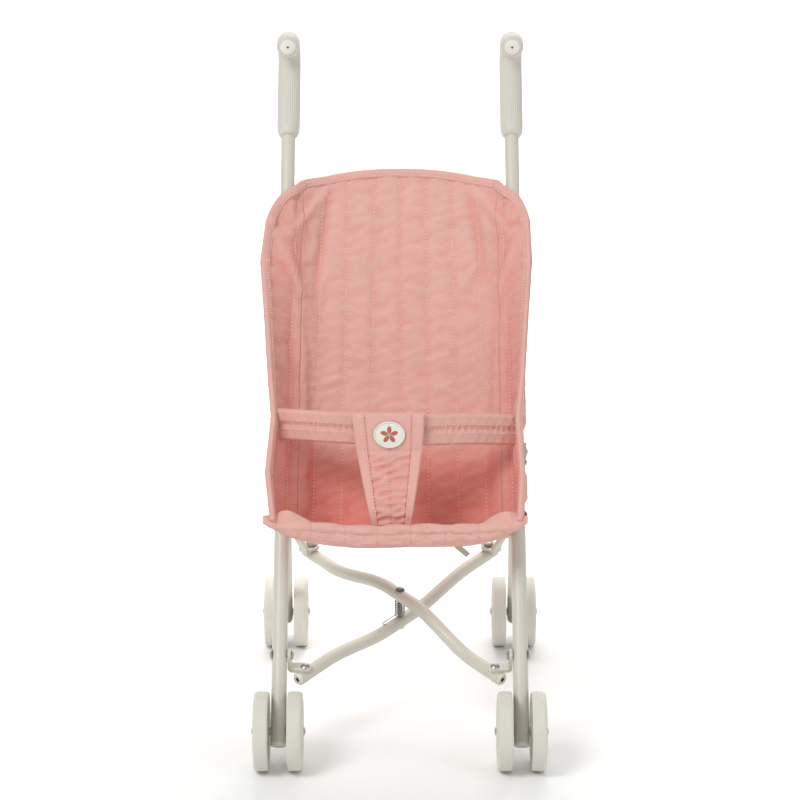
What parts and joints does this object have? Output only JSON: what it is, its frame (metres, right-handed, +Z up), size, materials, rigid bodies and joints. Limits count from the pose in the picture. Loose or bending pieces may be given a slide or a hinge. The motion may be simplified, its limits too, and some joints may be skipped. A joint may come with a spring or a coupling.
{
  "type": "doll stroller",
  "caption": "Folding toy stroller for dolls: leaning tubes with crook handles, twin wheels, a sprung cross brace, and a quilted bucket seat with a harness.",
  "frame": {"origin": "on the floor under the middle of the whole stroller's box", "axes": "+Z up, front of the stroller towards -Y, +X across"},
  "size_m": [0.253, 0.3714, 0.5605],
  "materials": {
    "frame_paint": "cream powder coat with a fine orange-peel texture",
    "grip_plastic": "ribbed moulded grip in the frame's cream",
    "plug_plastic": "smooth moulded plug, a little whiter than the frame",
    "wheel_plastic": "moulded plastic wheel with fine ribs round the tread",
    "steel": "plain zinc-plated rivets, axles and spring wire",
    "dark_steel": "darker plated screw and pin heads",
    "quilted_cotton": "dusty pink cotton, padded and quilted in channels",
    "belt_cotton": "dusty pink cotton, folded and top-stitched",
    "badge_patch": "cream embroidered oval patch",
    "webbing": "grey-beige woven webbing"
  },
  "bodies": {
    "left_frame": {"main_tube_left": "frame_paint", "grip_left": "grip_plastic", "grip_cap_left": "plug_plastic", "tube_plug_left": "plug_plastic", "hinge_bracket_left": "frame_paint", "hinge_rivets_left": "steel", "front_axle_left": "steel", "front_bracket_rivet_left": "steel", "seat_rail_left": "frame_paint", "rail_screw_left": "dark_steel", "tube_sleeve_left": "quilted_cotton", "seat_side_left": "quilted_cotton", "seat_back": "quilted_cotton", "seat_base": "quilted_cotton", "lap_belt": "belt_cotton", "crotch_strap": "belt_cotton", "badge": "badge_patch", "strap_tail": "webbing"},
    "left_rear_leg": {"rear_leg_left": "frame_paint", "leg_plug_left": "plug_plastic", "rear_axle_left": "steel", "rear_bracket_rivet_left": "steel"},
    "left_front_bracket": {"front_bracket_left": "frame_paint"},
    "left_rear_bracket": {"rear_bracket_left": "frame_paint"},
    "right_frame": {"main_tube_right": "frame_paint", "grip_right": "grip_plastic", "grip_cap_right": "plug_plastic", "tube_plug_right": "plug_plastic", "hinge_bracket_right": "frame_paint", "hinge_rivets_right": "steel", "front_axle_right": "steel", "front_bracket_rivet_right": "steel", "seat_rail_right": "frame_paint", "rail_screw_right": "dark_steel", "tube_sleeve_right": "quilted_cotton", "seat_side_right": "quilted_cotton"},
    "right_rear_leg": {"rear_leg_right": "frame_paint", "leg_plug_right": "plug_plastic", "rear_axle_right": "steel", "rear_bracket_rivet_right": "steel"},
    "right_front_bracket": {"front_bracket_right": "frame_paint"},
    "right_rear_bracket": {"rear_bracket_right": "frame_paint"},
    "lower_brace": {"brace_lower": "frame_paint", "brace_plugs_lower": "plug_plastic", "brace_end_pins_lower": "steel", "brace_pivot_pin": "dark_steel", "brace_spring": "steel"},
    "upper_brace": {"brace_upper": "frame_paint", "brace_plugs_upper": "plug_plastic", "brace_end_pins_upper": "steel"},
    "front_wheel_left_outer": {"front_wheel_left_outer": "wheel_plastic"},
    "front_wheel_left_inner": {"front_wheel_left_inner": "wheel_plastic"},
    "front_wheel_right_outer": {"front_wheel_right_outer": "wheel_plastic"},
    "front_wheel_right_inner": {"front_wheel_right_inner": "wheel_plastic"},
    "rear_wheel_left_outer": {"rear_wheel_left_outer": "wheel_plastic"},
    "rear_wheel_left_inner": {"rear_wheel_left_inner": "wheel_plastic"},
    "rear_wheel_right_outer": {"rear_wheel_right_outer": "wheel_plastic"},
    "rear_wheel_right_inner": {"rear_wheel_right_inner": "wheel_plastic"}
  },
  "joints": [
    {"name": "left_front_tilt", "type": "hinge", "parent": "left_frame", "child": "left_front_bracket", "pos_m": [-0.0979, -0.11913, 0.08423], "axis": [1, 0, 0], "range_deg": [0, 10.21]},
    {"name": "fold", "type": "hinge", "parent": "left_front_bracket", "child": "lower_brace", "pos_m": [-0.0775, -0.1137, 0.065], "axis": [0, -0.2717, 0.9624], "range_deg": [0, 26], "stiffness_Nm_per_rad": 0.4, "springref_deg": -28.65, "deforming": ["seat_back", "seat_base", "lap_belt", "crotch_strap", "badge", "strap_tail"]},
    {"name": "brace_cross", "type": "hinge", "parent": "lower_brace", "child": "upper_brace", "pos_m": [0, -0.0287, 0.089], "axis": [0, -0.2717, 0.9624], "range_deg": [-52.1, 0]},
    {"name": "right_front_turn", "type": "hinge", "parent": "upper_brace", "child": "right_front_bracket", "pos_m": [0.0775, -0.1137, 0.065], "axis": [0, -0.2717, 0.9624], "range_deg": [0, 26.1]},
    {"name": "right_front_tilt", "type": "hinge", "parent": "right_front_bracket", "child": "right_frame", "pos_m": [0.0979, -0.11913, 0.08423], "axis": [1, 0, 0], "range_deg": [-10.21, 0]},
    {"name": "left_leg_swing", "type": "hinge", "parent": "left_frame", "child": "left_rear_leg", "pos_m": [-0.0979, -0.01342, 0.21677], "axis": [1, 0, 0], "range_deg": [0, 36.68]},
    {"name": "left_rear_tilt", "type": "hinge", "parent": "left_rear_leg", "child": "left_rear_bracket", "pos_m": [-0.10073, 0.04907, 0.13861], "axis": [1, 0, 0], "range_deg": [-26.57, 0]},
    {"name": "right_leg_swing", "type": "hinge", "parent": "right_frame", "child": "right_rear_leg", "pos_m": [0.0979, -0.01342, 0.21677], "axis": [1, 0, 0], "range_deg": [0, 36.68]},
    {"name": "right_rear_tilt", "type": "hinge", "parent": "right_rear_leg", "child": "right_rear_bracket", "pos_m": [0.10073, 0.04907, 0.13861], "axis": [1, 0, 0], "range_deg": [-26.57, 0]},
    {"name": "front_wheel_left_outer_spin", "type": "hinge", "parent": "left_frame", "child": "front_wheel_left_outer", "pos_m": [-0.1111, -0.1537, 0.032], "axis": [1, 0, 0], "continuous": true},
    {"name": "front_wheel_left_inner_spin", "type": "hinge", "parent": "left_frame", "child": "front_wheel_left_inner", "pos_m": [-0.0847, -0.1537, 0.032], "axis": [1, 0, 0], "continuous": true},
    {"name": "front_wheel_right_outer_spin", "type": "hinge", "parent": "right_frame", "child": "front_wheel_right_outer", "pos_m": [0.1111, -0.1537, 0.032], "axis": [1, 0, 0], "continuous": true},
    {"name": "front_wheel_right_inner_spin", "type": "hinge", "parent": "right_frame", "child": "front_wheel_right_inner", "pos_m": [0.0847, -0.1537, 0.032], "axis": [1, 0, 0], "continuous": true},
    {"name": "rear_wheel_left_outer_spin", "type": "hinge", "parent": "left_rear_leg", "child": "rear_wheel_left_outer", "pos_m": [-0.1178, 0.1343, 0.032], "axis": [1, 0, 0], "continuous": true},
    {"name": "rear_wheel_left_inner_spin", "type": "hinge", "parent": "left_rear_leg", "child": "rear_wheel_left_inner", "pos_m": [-0.0914, 0.1343, 0.032], "axis": [1, 0, 0], "continuous": true},
    {"name": "rear_wheel_right_outer_spin", "type": "hinge", "parent": "right_rear_leg", "child": "rear_wheel_right_outer", "pos_m": [0.1178, 0.1343, 0.032], "axis": [1, 0, 0], "continuous": true},
    {"name": "rear_wheel_right_inner_spin", "type": "hinge", "parent": "right_rear_leg", "child": "rear_wheel_right_inner", "pos_m": [0.0914, 0.1343, 0.032], "axis": [1, 0, 0], "continuous": true}
  ],
  "couplings": [
    {"joint": "left_front_tilt", "follows": "fold", "ratio": 0.389},
    {"joint": "brace_cross", "follows": "fold", "ratio": -2},
    {"joint": "right_front_turn", "follows": "fold", "ratio": 1},
    {"joint": "right_front_tilt", "follows": "fold", "ratio": -0.389},
    {"joint": "left_leg_swing", "follows": "fold", "ratio": 1.407},
    {"joint": "left_rear_tilt", "follows": "fold", "ratio": -1.018},
    {"joint": "right_leg_swing", "follows": "fold", "ratio": 1.407},
    {"joint": "right_rear_tilt", "follows": "fold", "ratio": -1.018}
  ]
}
